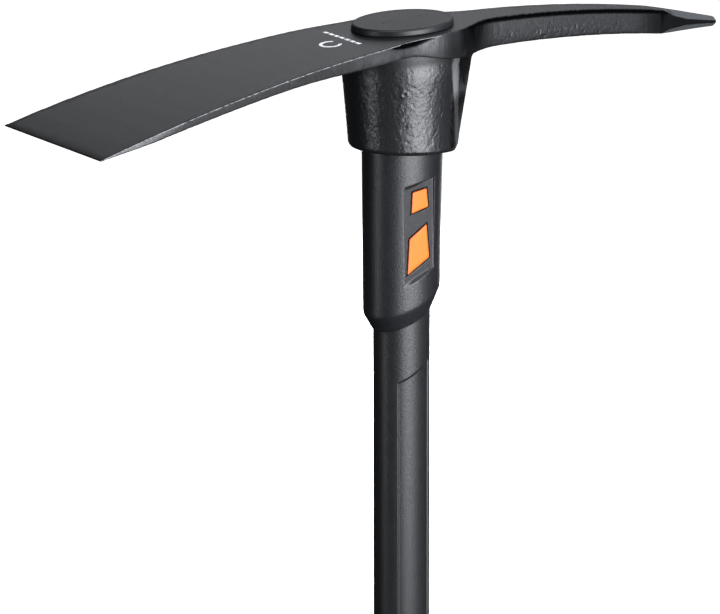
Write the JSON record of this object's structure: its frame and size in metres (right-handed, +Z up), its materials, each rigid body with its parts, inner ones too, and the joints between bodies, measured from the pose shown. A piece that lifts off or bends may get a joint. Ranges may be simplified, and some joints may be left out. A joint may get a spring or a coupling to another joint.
{
  "type": "pickaxe",
  "caption": "Pickaxe: forged black head with a broad adze blade and a faceted pick point, on an oval composite handle with a guard, a ribbed grip and a flared butt.",
  "frame": {"origin": "centre of the butt's flat end face, on the handle's axis", "axes": "+Z up the handle towards the head, +X towards the pick point, -X towards the adze blade, -Y is the front, where the pictured flat side of the handle faces"},
  "size_m": [0.5175, 0.092, 0.914],
  "materials": {
    "forged_steel": "satin black paint",
    "liner_rubber": "matte",
    "cap_plastic": "satin",
    "glass_fibre": "pultruded glass fibre",
    "shaft_plastic": "fine grained matte",
    "guard_plastic": "fine grained matte",
    "inlay_orange": "smooth",
    "grip_rubber": "matte",
    "butt_plastic": "fine grained matte"
  },
  "bodies": {
    "root": {"pick_head": "forged_steel", "insulation_sleeve": "liner_rubber", "top_cap": "cap_plastic", "core_rod": "glass_fibre", "handle_shell": "shaft_plastic", "strike_guard": "guard_plastic", "inlay_small_front": "inlay_orange", "inlay_large_front": "inlay_orange", "inlay_small_back": "inlay_orange", "inlay_large_back": "inlay_orange", "grip_sleeve": "grip_rubber", "butt_cap": "butt_plastic"}
  },
  "joints": []
}
